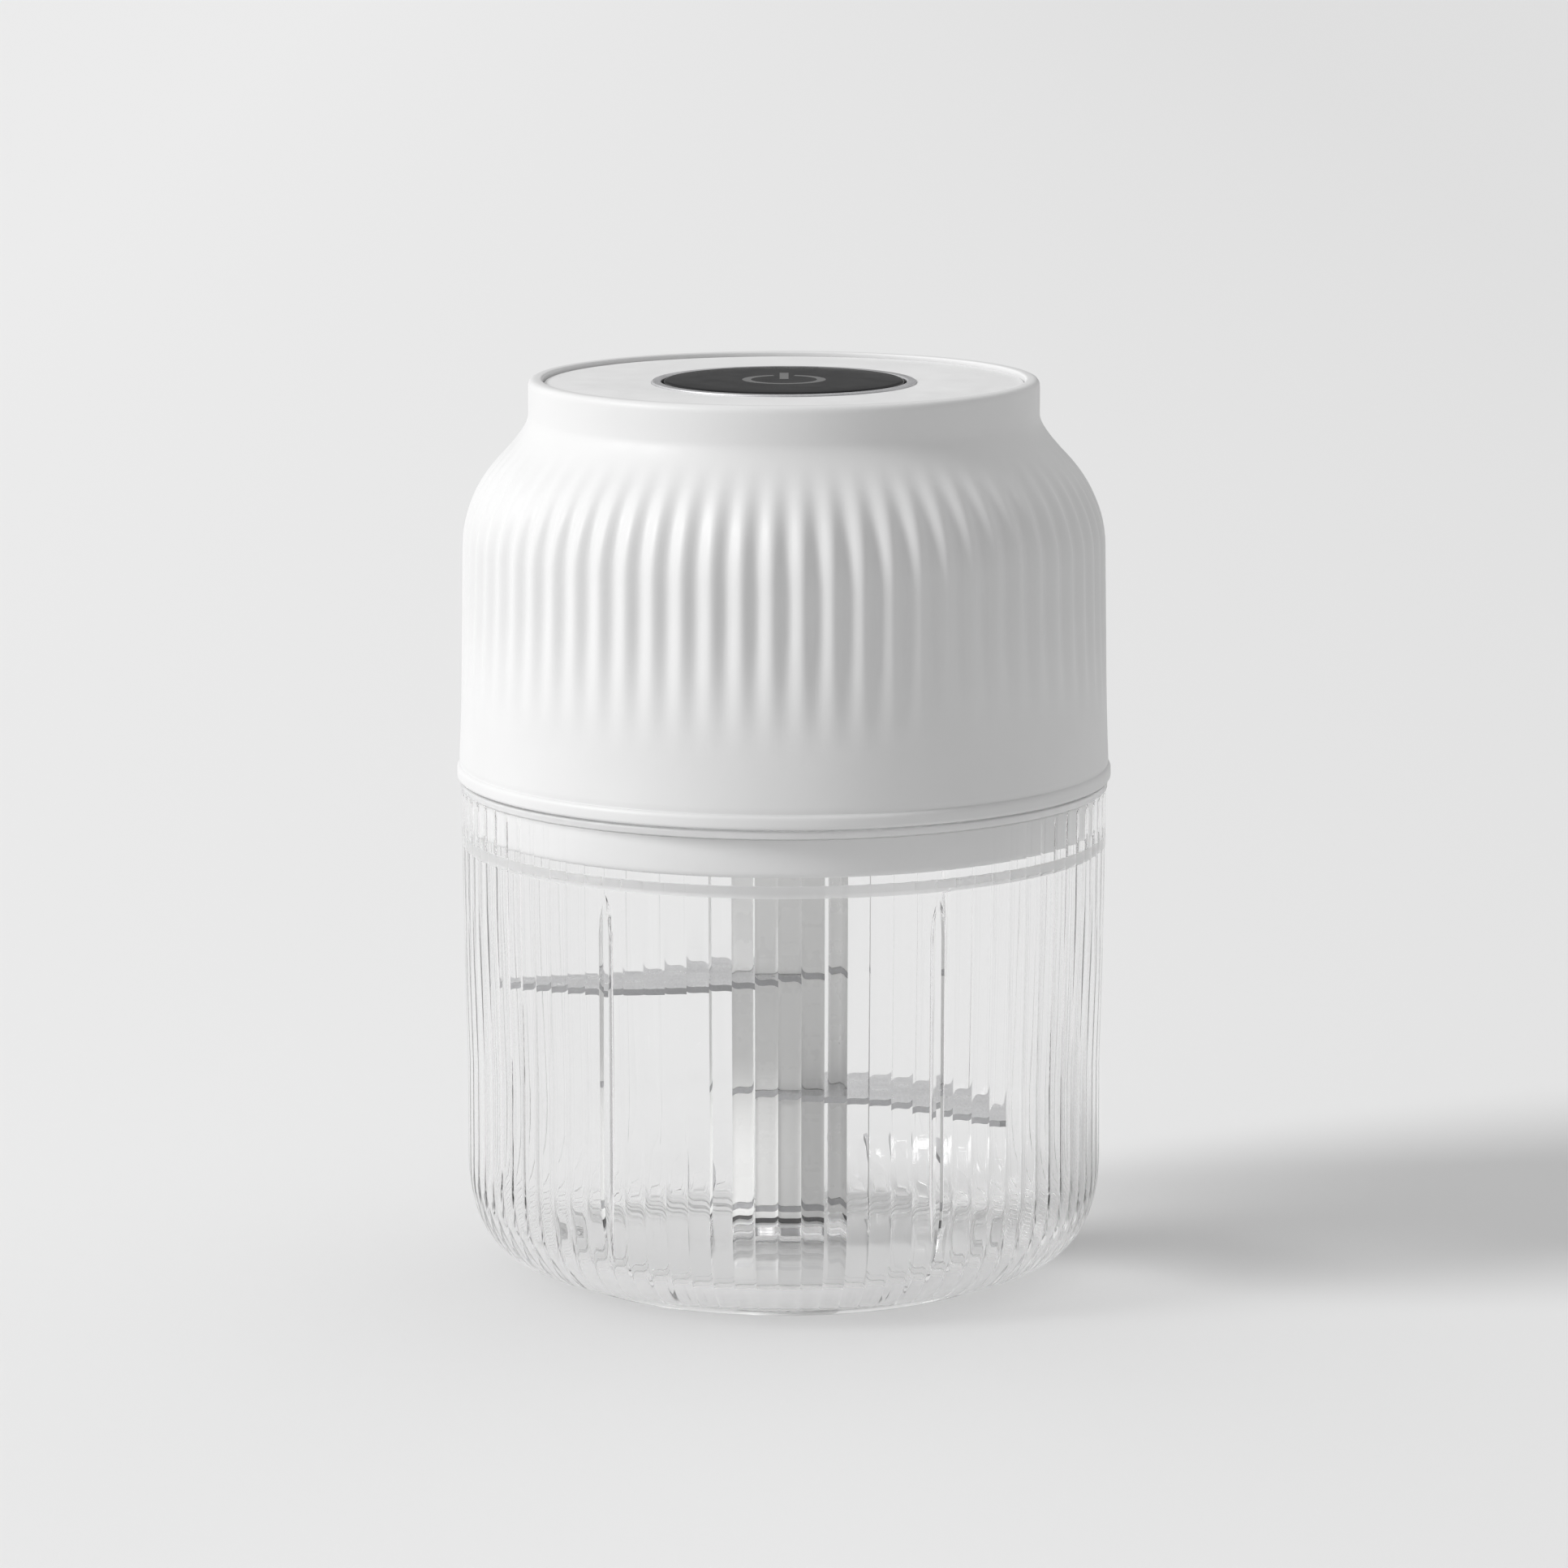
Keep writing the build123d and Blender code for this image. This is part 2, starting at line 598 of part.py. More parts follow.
def main():
    os.makedirs("parts", exist_ok=True)
    for name, make in NODES.items():
        save(name, make())
    for name in BLADE_TOPS:
        save(name, blade(name))
    save("end_collar", sleeve(STACK_LOW, BLADE_TOPS["lower_blade"] - BLADE_T))
    save("lower_sleeve", sleeve(BLADE_TOPS["lower_blade"], BLADE_TOPS["middle_blade"] - BLADE_T))
    save("middle_sleeve", sleeve(BLADE_TOPS["middle_blade"], BLADE_TOPS["upper_blade"] - BLADE_T))


main()
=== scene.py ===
import json
import math

import bmesh
import bpy
from mathutils import Matrix, Vector


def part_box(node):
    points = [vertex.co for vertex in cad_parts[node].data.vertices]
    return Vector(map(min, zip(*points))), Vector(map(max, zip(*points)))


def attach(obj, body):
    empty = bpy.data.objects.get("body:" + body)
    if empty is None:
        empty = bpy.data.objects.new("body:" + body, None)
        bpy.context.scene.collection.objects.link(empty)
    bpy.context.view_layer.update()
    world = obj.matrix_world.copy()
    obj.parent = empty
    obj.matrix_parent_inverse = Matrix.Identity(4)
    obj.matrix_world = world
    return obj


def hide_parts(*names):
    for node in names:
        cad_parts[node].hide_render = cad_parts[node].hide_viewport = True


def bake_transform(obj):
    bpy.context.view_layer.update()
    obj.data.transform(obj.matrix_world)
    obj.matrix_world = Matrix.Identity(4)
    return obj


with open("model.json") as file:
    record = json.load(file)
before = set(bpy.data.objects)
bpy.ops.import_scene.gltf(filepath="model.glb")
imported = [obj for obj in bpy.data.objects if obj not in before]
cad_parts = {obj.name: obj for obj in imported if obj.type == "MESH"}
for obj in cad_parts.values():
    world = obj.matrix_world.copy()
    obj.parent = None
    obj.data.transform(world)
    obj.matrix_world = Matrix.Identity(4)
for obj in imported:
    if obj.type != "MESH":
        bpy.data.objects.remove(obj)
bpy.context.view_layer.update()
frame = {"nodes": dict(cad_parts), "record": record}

# A cordless mini food chopper: the finished pieces round the engineering model. Outlines are
# drawn in millimetres, as (radius, height) pairs; the meshes are in metres.

bl_info = {
    "name": "Mini Food Chopper",
    "version": (1, 0, 0),
    "blender": (4, 5, 0),
    "location": "3D View > Sidebar > Chopper",
    "description": "Builds the finished pieces of a cordless mini food chopper round its frame",
    "category": "Add Mesh",
}

MM = 0.001
NODE_SLOT = {part["node"]: part["material_slot"] for part in frame["record"]["subparts"]}


def low_high(node):
    """The lowest and highest corner of a node, in millimetres."""
    low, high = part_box(node)
    return low / MM, high / MM


LID_LOW, LID_HIGH = low_high("housing")
SEAM_Z = LID_LOW.z               # underside of the lid's bead
LID_TOP = LID_HIGH.z
BEAD_R = LID_HIGH.x
RIM_Z = low_high("cup")[1].z     # top of the cup
SHAFT_R = low_high("lower_sleeve")[1].x
PIN_R = low_high("bowl_pin")[1].x
WALL_R = 39.1                    # inside of the cup's wall
LIP_R = 40.0                     # inside of the cup's rim, above the ledge
LEDGE_LOW, LEDGE_TOP = 55.8, 57.4
BOSS_TOP = 5.9                   # top of the round boss in the cup's floor
CAP_R = 41.05                    # where the lid's wall turns in to the shoulder
CAP_Z = 100.8

FLUTE_CREST = 3.2                # degrees round from the front, at the middle of one flute
REED_CUSP = 3.0                  # degrees round from the front, at the line between two reeds
RIB_ANGLES = (-33.8, 28.6, 146.2, 208.6)
BLADE_TURNS = {"lower_blade": 78.0, "middle_blade": 320.0, "upper_blade": 198.0}
ROUND_STEPS = 5                  # fewest steps round a bend
MERGE = 1e-7                     # vertices closer than this, in metres, are one
TIPPED = Matrix.Rotation(math.radians(90), 4, "X")


# ---------------------------------------------------------------- outlines


def rounded(*corners):
    """An outline whose corners are (radius, height), with one or two more values where it bends:
    how far before the corner and how far after it the bend reaches."""
    places = []
    for index, corner in enumerate(corners):
        here = Vector(corner[:2])
        if len(corner) == 2:
            places.append(here)
            continue
        back = Vector(corners[index - 1][:2]) - here
        ahead = Vector(corners[(index + 1) % len(corners)][:2]) - here
        start = here + back.normalized() * corner[2]
        end = here + ahead.normalized() * corner[-1]
        steps = max(ROUND_STEPS, int(2 * corner[2]))
        for step in range(steps + 1):
            part = step / steps
            places.append(start.lerp(here, part).lerp(here.lerp(end, part), part))
    return places


def split(outline, longest):
    """The same outline, with no stretch longer than a length."""
    places = [outline[0]]
    for here, there in zip(outline, outline[1:]):
        count = max(1, math.ceil((there - here).length / longest))
        places += [here.lerp(there, step / count) for step in range(1, count + 1)]
    return places


def smooth_step(value, start, end):
    part = min(1.0, max(0.0, (value - start) / (end - start)))
    return part * part * (3 - 2 * part)


def polar(angle, radius):
    turn = math.radians(angle)
    return Vector((radius * math.cos(turn), radius * math.sin(turn)))


def from_front(angle, radius):
    """A place at an angle round from the front, positive to the right."""
    turn = math.radians(angle)
    return Vector((radius * math.sin(turn), -radius * math.cos(turn)))


def front_angle(place):
    return math.degrees(math.atan2(place.x, -place.y))


# ---------------------------------------------------------------- shapes


def only_verts(geom):
    return [part for part in geom if isinstance(part, bmesh.types.BMVert)]


def lathe(outline, steps=128):
    """A solid of revolution, turned through an eighth and then copied round. An outline that
    starts and ends on the axis is left open there."""
    shape = bmesh.new()
    verts = [shape.verts.new((place.x * MM, 0, place.y * MM)) for place in outline]
    pairs = list(zip(verts, verts[1:]))
    if outline[0].x > 0 or outline[-1].x > 0:
        pairs.append((verts[-1], verts[0]))
    edges = [shape.edges.new(pair) for pair in pairs]
    bmesh.ops.spin(shape, geom=verts + edges, cent=(0, 0, 0), axis=(0, 0, 1), dvec=(0, 0, 0),
                   angle=math.pi / 4, steps=steps // 8)
    for angle in (math.pi / 4, math.pi / 2, math.pi):
        copy = bmesh.ops.duplicate(shape, geom=shape.verts[:] + shape.edges[:] + shape.faces[:])
        bmesh.ops.rotate(shape, cent=(0, 0, 0), matrix=Matrix.Rotation(angle, 3, "Z"),
                         verts=only_verts(copy["geom"]))
    bmesh.ops.remove_doubles(shape, verts=shape.verts, dist=MERGE)
    bmesh.ops.recalc_face_normals(shape, faces=shape.faces)
    shape.normal_update()
    return shape


def moved(shape, matrix):
    bmesh.ops.transform(shape, matrix=matrix, verts=shape.verts)
    return shape


def slab(width, depth, height, rounding=0.0, edge=0.0):
    """A block in millimetres about the origin, with its upright edges and then the rest rounded."""
    shape = bmesh.new()
    bmesh.ops.create_cube(shape, size=1.0)
    bmesh.ops.scale(shape, vec=(width * MM, depth * MM, height * MM), verts=shape.verts)
    if rounding:
        upright = [e for e in shape.edges if abs((e.verts[0].co - e.verts[1].co).z) > 1e-6]
        bmesh.ops.bevel(shape, geom=upright, offset=rounding * MM, segments=6, profile=0.5,
                        affect="EDGES", material=-1)
    if edge:
        level = [e for e in shape.edges if abs((e.verts[0].co - e.verts[1].co).z) < 1e-7]
        bmesh.ops.bevel(shape, geom=level, offset=edge * MM, segments=2, profile=0.5,
                        affect="EDGES", material=-1)
    return shape


def rod(radius, low, high, x=0.0, y=0.0, sides=48):
    shape = bmesh.new()
    bmesh.ops.create_cone(shape, cap_ends=True, segments=sides, radius1=radius * MM,
                          radius2=radius * MM, depth=(high - low) * MM)
    return moved(shape, Matrix.Translation((x * MM, y * MM, (low + high) / 2 * MM)))


def as_object(name, shape):
    mesh = bpy.data.meshes.new(name)
    shape.to_mesh(mesh)
    shape.free()
    obj = bpy.data.objects.new(name, mesh)
    bpy.context.scene.collection.objects.link(obj)
    return obj


def joined(shape, *others, operation="DIFFERENCE"):
    """A shape after the others are cut from it, or added to it. All of them are used up."""
    base = as_object("base", shape)
    tools = [as_object("tool", other) for other in others]
    for tool in tools:
        cut = base.modifiers.new("cut", "BOOLEAN")
        cut.object = tool
        cut.operation = operation
        cut.solver = "EXACT"
    bpy.context.view_layer.update()
    view = bpy.context.evaluated_depsgraph_get()
    mesh = bpy.data.meshes.new_from_object(base.evaluated_get(view))
    result = bmesh.new()
    result.from_mesh(mesh)
    for obj in [base] + tools:
        spare = obj.data
        bpy.data.objects.remove(obj)
        bpy.data.meshes.remove(spare)
    bpy.data.meshes.remove(mesh)
    bmesh.ops.remove_doubles(result, verts=result.verts, dist=MERGE)
    return result


def dressed(name, shape, node, crease):
    """An object with smooth faces, edges sharper than a number of degrees, and a node's finish."""
    obj = as_object(name, shape)
    for face in obj.data.polygons:
        face.use_smooth = True
    obj.data.set_sharp_from_angle(angle=math.radians(crease))
    obj.data.materials.append(finish(NODE_SLOT[node]))
    return obj


def piece(name, shape, body, node, crease=28.0):
    """Makes a finished piece that stands for a node of the frame and moves with a body."""
    obj = dressed(name, shape, node, crease)
    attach(obj, body)
    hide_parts(node)
    return obj


# ---------------------------------------------------------------- materials


class Shader:
    """A new material with its main shader, and short ways to add to it."""

    def __init__(self, name, colour, roughness, metallic=0.0, **sockets):
        self.material = bpy.data.materials.new(name)
        self.material.use_nodes = True
        self.tree = self.material.node_tree
        self.surface = self.tree.nodes["Principled BSDF"]
        self.colour = (*colour, 1.0)
        self.surface.inputs["Base Color"].default_value = self.colour
        self.surface.inputs["Roughness"].default_value = roughness
        self.surface.inputs["Metallic"].default_value = metallic
        for socket, value in sockets.items():
            self.surface.inputs[socket.replace("_", " ")].default_value = value
        self.place = self.tree.nodes.new("ShaderNodeTexCoord").outputs["Object"]
        self.height = None

    def node(self, kind, **values):
        made = self.tree.nodes.new(kind)
        for name, value in values.items():
            setattr(made, name, value)
        return made

    def link(self, start, end):
        self.tree.links.new(start, end)

    def noise(self, grain, detail=3.0, stretch=(1, 1, 1), turn=0.0):
        """Noise whose grain is a size in millimetres, stretched along the axes."""
        mapping = self.node("ShaderNodeMapping")
        mapping.inputs["Scale"].default_value = [1 / (grain * MM * part) for part in stretch]
        mapping.inputs["Rotation"].default_value = (0, 0, math.radians(turn))
        self.link(self.place, mapping.inputs["Vector"])
        noise = self.node("ShaderNodeTexNoise")
        noise.inputs["Scale"].default_value = 1.0
        noise.inputs["Detail"].default_value = detail
        self.link(mapping.outputs["Vector"], noise.inputs["Vector"])
        return noise.outputs["Fac"]

    def vary_colour(self, factor, other, share=1.0):
        """Blend the base colour towards another where the factor is high."""
        ramp = self.node("ShaderNodeMapRange")
        ramp.inputs["From Min"].default_value = 0.35
        ramp.inputs["From Max"].default_value = 0.65
        ramp.inputs["To Max"].default_value = share
        self.link(factor, ramp.inputs["Value"])
        mix = self.node("ShaderNodeMix", data_type="RGBA")
        current = self.surface.inputs["Base Color"]
        if current.is_linked:
            self.link(current.links[0].from_socket, mix.inputs["A"])
        else:
            mix.inputs["A"].default_value = self.colour
        mix.inputs["B"].default_value = (*other, 1.0)
        self.link(ramp.outputs["Result"], mix.inputs["Factor"])
        self.link(mix.outputs["Result"], current)
        return self

    def vary_roughness(self, factor, low, high):
        ramp = self.node("ShaderNodeMapRange")
        ramp.inputs["From Min"].default_value = 0.3
        ramp.inputs["From Max"].default_value = 0.7
        ramp.inputs["To Min"].default_value = low
        ramp.inputs["To Max"].default_value = high
        self.link(factor, ramp.inputs["Value"])
        self.link(ramp.outputs["Result"], self.surface.inputs["Roughness"])
        return self

    def bump(self, factor, height, strength=1.0):
        """Relief of a height in millimetres."""
        bump = self.node("ShaderNodeBump")
        bump.inputs["Distance"].default_value = height * MM
        bump.inputs["Strength"].default_value = strength
        self.link(factor, bump.inputs["Height"])
        if self.height:
            self.link(self.height, bump.inputs["Normal"])
        self.height = bump.outputs["Normal"]
        self.link(self.height, self.surface.inputs["Normal"])
        return self


def moulded(name, colour, roughness, grain=0.35, relief=0.004, mottle=14.0, **sockets):
    """Injection-moulded plastic: a faint mottle, a fine spark-eroded grain, uneven sheen."""
    shader = Shader(name, colour, roughness, **sockets)
    darker = [0.96 * part for part in colour]
    shader.vary_colour(shader.noise(mottle, 2.0), darker, 0.6)
    shader.vary_roughness(shader.noise(3.0, 4.0), roughness - 0.04, roughness + 0.05)
    shader.bump(shader.noise(grain, 2.0), relief)
    return shader.material


def metal(name, colour, roughness, stretch=(1, 12, 1), turn=0.0, grain=0.12, relief=0.002):
    """Brushed or rolled metal, with its lines along one direction."""
    shader = Shader(name, colour, roughness, metallic=1.0, Anisotropic=0.35)
    lines = shader.noise(grain, 3.0, stretch, turn)
    shader.vary_colour(lines, [0.82 * part for part in colour], 0.8)
    shader.vary_roughness(shader.noise(2.5, 3.0), roughness - 0.05, roughness + 0.08)
    shader.bump(lines, relief)
    return shader.material


def rubber(name, colour, roughness):
    shader = Shader(name, colour, roughness, Specular_IOR_Level=0.35)
    shader.vary_colour(shader.noise(5.0, 3.0), [1.15 * part for part in colour], 0.5)
    shader.vary_roughness(shader.noise(1.5, 3.0), roughness - 0.08, roughness + 0.08)
    shader.bump(shader.noise(0.25, 2.0), 0.006)
    return shader.material


def clear_cup(name, matt=0.0):
    """Clear moulded plastic, polished or matt. Lamps shine through it, slightly dimmed."""
    look = bpy.context.scene.chopper_cup
    shader = Shader(name, look.tint, 0.0, Transmission_Weight=1.0 - 0.7 * matt,
                    IOR=look.bending)
    shader.vary_roughness(shader.noise(6.0, 3.0), matt, matt + 0.02)
    shader.bump(shader.noise(12.0, 1.0), 0.01, 0.4)
    path = shader.node("ShaderNodeLightPath")
    through = shader.node("ShaderNodeBsdfTransparent")
    through.inputs["Color"].default_value = (*look.shade, 1.0)
    surface = shader.surface
    for ray in ("Is Shadow Ray", "Is Diffuse Ray"):
        mix = shader.node("ShaderNodeMixShader")
        shader.link(path.outputs[ray], mix.inputs["Fac"])
        shader.link(surface.outputs[0], mix.inputs[1])
        shader.link(through.outputs["BSDF"], mix.inputs[2])
        surface = mix
    shader.link(surface.outputs[0], shader.tree.nodes["Material Output"].inputs["Surface"])
    return shader.material


def circuit_board(name):
    shader = Shader(name, (0.03, 0.20, 0.09), 0.35, Coat_Weight=0.4)
    shader.vary_colour(shader.noise(1.2, 0.0, (1, 6, 1)), (0.06, 0.30, 0.14), 0.8)
    shader.vary_roughness(shader.noise(2.0), 0.25, 0.45)
    shader.bump(shader.noise(1.2, 0.0, (1, 6, 1)), 0.02)
    return shader.material


def wound_copper(name):
    shader = Shader(name, (0.60, 0.25, 0.10), 0.30, metallic=1.0)
    turns = shader.noise(0.3, 1.0, (1, 1, 0.5))
    shader.vary_colour(turns, (0.30, 0.11, 0.05), 0.9)
    shader.vary_roughness(turns, 0.25, 0.5)
    shader.bump(turns, 0.05)
    return shader.material


FINISHES = {
    "clear_plastic": clear_cup,
    "white_plastic": lambda name: moulded(name, bpy.context.scene.chopper_lid.colour, 0.50),
    "cover_plastic": lambda name: moulded(name, (0.86, 0.86, 0.86), 0.34),
    "panel_plastic": lambda name: moulded(name, (0.88, 0.88, 0.88), 0.42, 0.2, 0.006),
    "shaft_plastic": lambda name: moulded(name, (0.89, 0.89, 0.88), 0.28),
    "inner_plastic": lambda name: moulded(name, (0.075, 0.080, 0.090), 0.50),
    "bush_plastic": lambda name: moulded(name, (0.22, 0.22, 0.22), 0.45),
    "switch_plastic": lambda name: moulded(name, (0.02, 0.02, 0.02), 0.45),
    "button_plastic": lambda name: moulded(
        name, bpy.context.scene.chopper_top.button_colour, 0.16, 0.6, 0.0006,
        Specular_IOR_Level=0.06),
    "icon_ink": lambda name: moulded(name, bpy.context.scene.chopper_top.icon_colour, 0.30),
    "light_plastic": lambda name: moulded(name, (0.75, 0.78, 0.78), 0.30, Subsurface_Weight=0.3),
    "cell_wrap": lambda name: moulded(name, (0.02, 0.12, 0.20), 0.25, mottle=25.0),
    "ring_metal": lambda name: metal(name, bpy.context.scene.chopper_top.ring_colour, 0.50),
    "blade_steel": lambda name: metal(name, bpy.context.scene.chopper_blades.colour, 0.30),
    "pin_steel": lambda name: metal(name, (0.60, 0.60, 0.61), 0.22, (1, 1, 10)),
    "motor_steel": lambda name: metal(name, (0.52, 0.52, 0.54), 0.32, (1, 1, 14)),
    "screw_steel": lambda name: metal(name, (0.48, 0.48, 0.50), 0.35, (1, 1, 4)),
    "port_metal": lambda name: metal(name, (0.62, 0.62, 0.63), 0.28),
    "contact_metal": lambda name: metal(name, (0.62, 0.56, 0.38), 0.32),
    "bush_bronze": lambda name: metal(name, (0.45, 0.30, 0.14), 0.42, (1, 1, 2)),
    "laminate": lambda name: metal(name, (0.20, 0.20, 0.21), 0.45, (8, 8, 1), grain=0.5),
    "soft_seal": lambda name: rubber(name, (0.74, 0.74, 0.74), 0.50),
    "dark_rubber": lambda name: rubber(name, (0.06, 0.06, 0.06), 0.65),
    "flap_rubber": lambda name: rubber(name, (0.66, 0.66, 0.65), 0.55),
    "lead_cover": lambda name: rubber(name, (0.35, 0.03, 0.03), 0.45),
    "magnet": lambda name: rubber(name, (0.05, 0.05, 0.055), 0.70),
    "carbon": lambda name: rubber(name, (0.03, 0.03, 0.03), 0.60),
    "board": circuit_board,
    "copper": wound_copper,
}
MADE = {}


def finish(slot):
    """The material of a slot, made the first time that it is asked for."""
    if slot not in MADE:
        MADE[slot] = FINISHES[slot](slot + "_finish")
    return MADE[slot]


# ---------------------------------------------------------------- settings


class CupSettings(bpy.types.PropertyGroup):
    reeds: bpy.props.IntProperty(name="Reeds", description="Reeds round the outside", default=90)
    reed_round: bpy.props.FloatProperty(
        name="Reed round", description="How much each reed bulges, in millimetres", default=0.020)
    reed_depth: bpy.props.FloatProperty(
        name="Reed depth", description="How far the line between reeds is sunk, in millimetres",
        default=0.064)
    tint: bpy.props.FloatVectorProperty(
        name="Tint", description="Colour of the clear plastic", subtype="COLOR",
        default=(0.995, 0.995, 0.995))
    shade: bpy.props.FloatVectorProperty(
        name="Shade", description="What each wall lets a lamp's light keep", subtype="COLOR",
        default=(0.93, 0.93, 0.93))
    bending: bpy.props.FloatProperty(
        name="Bending", description="Refractive index of the plastic", default=1.49)


class LidSettings(bpy.types.PropertyGroup):
    flutes: bpy.props.IntProperty(name="Flutes", description="Flutes round the lid", default=68)
    flute_depth: bpy.props.FloatProperty(
        name="Flute depth", description="From crest to hollow, in millimetres", default=0.74)
    colour: bpy.props.FloatVectorProperty(
        name="Colour", description="Colour of the lid", subtype="COLOR", default=(0.75, 0.75, 0.75))


class TopSettings(bpy.types.PropertyGroup):
    button_colour: bpy.props.FloatVectorProperty(
        name="Button", description="Colour of the push button", subtype="COLOR",
        default=(0.012, 0.012, 0.013))
    icon_colour: bpy.props.FloatVectorProperty(
        name="Sign", description="Colour of the power sign", subtype="COLOR",
        default=(0.20, 0.20, 0.20))
    ring_colour: bpy.props.FloatVectorProperty(
        name="Ring", description="Colour of the ring round the button", subtype="COLOR",
        default=(0.62, 0.62, 0.63))


class BladeSettings(bpy.types.PropertyGroup):
    colour: bpy.props.FloatVectorProperty(
        name="Steel", description="Colour of the blades", subtype="COLOR",
        default=(0.68, 0.68, 0.69))
    # Painted shade: the blades' upright sides take this darker steel colour.
    shaded_edge_colour: bpy.props.FloatVectorProperty(
        name="Cut edge", description="Colour of the blades' cut edges", subtype="COLOR",
        default=(0.40, 0.40, 0.41))
    ground_width: bpy.props.FloatProperty(
        name="Ground width", description="Width of the ground edge, in millimetres", default=2.2)


class StageSettings(bpy.types.PropertyGroup):
    floor: bpy.props.FloatVectorProperty(
        name="Floor", description="Colour of the floor", subtype="COLOR",
        default=(0.875, 0.875, 0.875))
    key: bpy.props.FloatProperty(
        name="Key light", description="Strength of the soft light from the left", default=2.15)
    height: bpy.props.FloatProperty(
        name="Key height", description="Degrees of the key light above the floor", default=32.0)
    side: bpy.props.FloatProperty(
        name="Key side", description="Degrees of the key light from the left to the front",
        default=19.0)
    softness: bpy.props.FloatProperty(
        name="Softness", description="Width of the key light, in degrees", default=18.0)
    fill: bpy.props.FloatProperty(
        name="Fill", description="Strength of the light from above and behind", default=0.79)
    dim: bpy.props.FloatProperty(
        name="Dim", description="Strength of the light from the front", default=0.18)
    glow: bpy.props.FloatProperty(
        name="Glow", description="Strength of the light from the front, seen through glass",
        default=0.54)
    flag: bpy.props.FloatProperty(
        name="Flag", description="What a dark card low behind the object lets through",
        default=0.22)


# ---------------------------------------------------------------- the cup


class CHOPPER_OT_cup(bpy.types.Operator):
    """Make the clear cup, reeded outside, with four ribs inside"""
    bl_idname = "chopper.cup"
    bl_label = "Cup"

    def outline(self):
        outside = rounded(
            (0, 1.2), (26.6, 1.2, 0.4), (27.0, 0.0, 0.5), (29.4, 0.0, 0.5), (29.7, 1.3, 0.5),
            (41.0, 1.9, 10.0, 13.5), (40.95, 28.0), (41.42, 50.0), (41.5, 62.0), (41.5, 62.9),
            (41.62, 63.4), (41.62, RIM_Z, 0.3), (LIP_R, RIM_Z, 0.3))
        bore = PIN_R + 0.05
        return outside + rounded(
            (LIP_R, LEDGE_TOP, 0.4), (WALL_R, LEDGE_LOW, 0.4), *self.bowl(), (SHAFT_R, 3.0, 0.5),
            (SHAFT_R, BOSS_TOP, 0.4), (bore, BOSS_TOP, 0.1), (bore, 3.0), (0, 3.0))

    def bowl(self):
        """The inside's rounded corner, from the wall to the floor."""
        return [(WALL_R, 3.1, 13.0, 11.5)]

    def execute(self, context):
        look = context.scene.chopper_cup
        shape = lathe(self.outline(), steps=look.reeds * 8)
        pitch = 360.0 / look.reeds
        for vert in shape.verts:
            place = vert.co / MM
            radius = math.hypot(place.x, place.y)
            even = ((front_angle(place) - REED_CUSP) / pitch) % 1.0 * 2 - 1
            across = 1 - (1 - abs(even)) ** 1.7
            turn = (math.copysign(across, even) - even) / 2 * math.radians(pitch)
            facing = vert.normal.x * place.x + vert.normal.y * place.y
            if radius > 28.0 and (facing > 0 or (vert.normal.z < -0.2 and place.z < 12.0)):
                fade = smooth_step(place.z, 63.6, 63.0) * smooth_step(radius, 30.5, 33.0)
                sunk = look.reed_round * across ** 2 + look.reed_depth * across ** 6
                vert.co -= vert.normal * (sunk * fade * MM)
            vert.co.rotate(Matrix.Rotation(turn, 3, "Z"))
        ribs = [self.rib(angle) for angle in RIB_ANGLES]
        cup = piece("clear_cup", joined(shape, *ribs, operation="UNION"), "cup", "cup", crease=25.0)
        cup.data.materials.append(clear_cup("matt_ledge", matt=0.5))
        for face in cup.data.polygons:
            place = face.center / MM
            radius = math.hypot(place.x, place.y)
            ledge = LEDGE_LOW - 0.2 < place.z < LEDGE_TOP + 0.2 and radius < LIP_R + 0.1
            boss = place.z > BOSS_TOP - 0.4 and radius < SHAFT_R + 0.1
            if ledge or boss or place.z > 63.2:
                face.material_index = 1
        return {"FINISHED"}

    def rib(self, angle):
        """A slender rib down the inside of the wall, pointed at both ends."""
        half, top, sunk = 1.05, LEDGE_LOW - 0.2, 0.25
        wall = [Vector((WALL_R, top))] + rounded((WALL_R, 44.0), *self.bowl(), (28.0, 3.1))[:-1]
        line = split([place for place in wall if place.x > 36.9], 2.0)
        run = [0.0]
        for here, there in zip(line, line[1:]):
            run.append(run[-1] + (there - here).length)
        curve = bpy.data.curves.new("rib", "CURVE")
        curve.dimensions = "3D"
        curve.bevel_depth = half * MM
        curve.bevel_resolution = 5
        curve.use_fill_caps = True
        spline = curve.splines.new("POLY")
        spline.points.add(len(line) - 1)
        for point, place, length in zip(spline.points, line, run):
            ground = from_front(angle, place.x + sunk) * MM
            point.co = (ground.x, ground.y, place.y * MM, 1)
            point.radius = 0.02 + math.sqrt(min(1.0, length / 5.0, (run[-1] - length) / 9.0))
        holder = bpy.data.objects.new("rib", curve)
        mesh = bpy.data.meshes.new_from_object(holder)
        shape = bmesh.new()
        shape.from_mesh(mesh)
        bpy.data.objects.remove(holder)
        bpy.data.curves.remove(curve)
        bpy.data.meshes.remove(mesh)
        bmesh.ops.remove_doubles(shape, verts=shape.verts, dist=MERGE)
        bmesh.ops.recalc_face_normals(shape, faces=shape.faces)
        return shape


